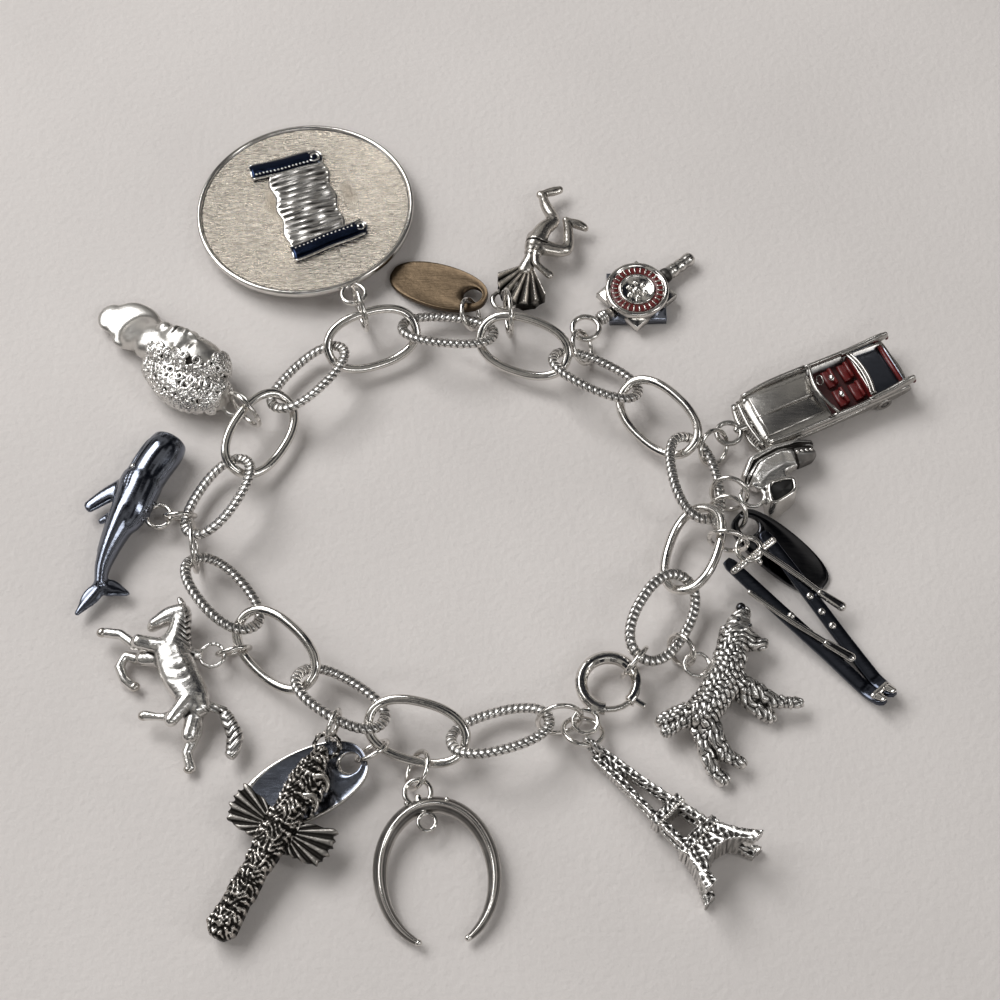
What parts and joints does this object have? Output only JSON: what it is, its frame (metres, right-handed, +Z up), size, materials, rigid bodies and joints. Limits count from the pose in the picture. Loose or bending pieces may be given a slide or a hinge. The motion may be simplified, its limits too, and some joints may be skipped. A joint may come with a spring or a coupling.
{
  "type": "charm bracelet",
  "caption": "Silver link charm bracelet lying closed in a loop, with a spring ring clasp and figure, disc and tag charms hung outside it on jump rings.",
  "frame": {"origin": "centre of the bracelet's footprint, on the surface that it lies on", "axes": "+Z up from the surface, +Y away from the viewer of the picture, +X to the right"},
  "size_m": [0.1052, 0.1132, 0.0073],
  "materials": {
    "silver": "polished sterling silver, worn, with darker recesses",
    "aged_silver": "oxidised sterling silver, bright only on its high places",
    "black_silver": "blackened silver, polished",
    "bronze": "satin, brown gold"
  },
  "bodies": {
    "bracelet": {"link_01": "silver", "link_02": "silver", "link_03": "silver", "link_04": "silver", "link_05": "silver", "link_06": "silver", "link_07": "silver", "link_08": "silver", "link_09": "silver", "link_10": "silver", "link_11": "silver", "link_12": "silver", "link_13": "silver", "link_14": "silver", "link_15": "silver", "link_16": "silver", "join_ring": "silver", "clasp_case": "silver", "hook_ring": "silver", "large_ring": "silver", "scroll_medallion_ring": "silver", "bronze_tag_ring": "silver", "dancer_ring": "silver", "seal_ring": "silver", "car_ring": "silver", "shoe_ring": "silver", "dark_tag_ring": "silver", "ski_ring": "silver", "dog_ring": "silver", "crescent_ring": "silver", "totem_ring": "silver", "totem_tag_ring": "silver", "horse_ring": "silver", "whale_ring": "silver", "bust_ring": "silver", "tower_ring": "silver", "scroll_medallion": "silver", "bronze_tag": "bronze", "dancer_charm": "aged_silver", "seal_charm": "aged_silver", "car_charm": "silver", "shoe_charm": "aged_silver", "dark_tag": "black_silver", "ski_charm": "black_silver", "dog_charm": "silver", "crescent_charm": "silver", "totem_charm": "aged_silver", "totem_tag": "black_silver", "horse_charm": "aged_silver", "whale_charm": "black_silver", "bust_charm": "silver", "tower_charm": "aged_silver"},
    "bolt": {"clasp_bolt": "silver"}
  },
  "joints": [
    {"name": "clasp_bolt_slide", "type": "hinge", "parent": "bracelet", "child": "bolt", "pos_m": [0.01295, -0.02552, 0.00221], "axis": [0, 0, 1], "range_deg": [0, 52], "stiffness_Nm_per_rad": 0.00002}
  ]
}
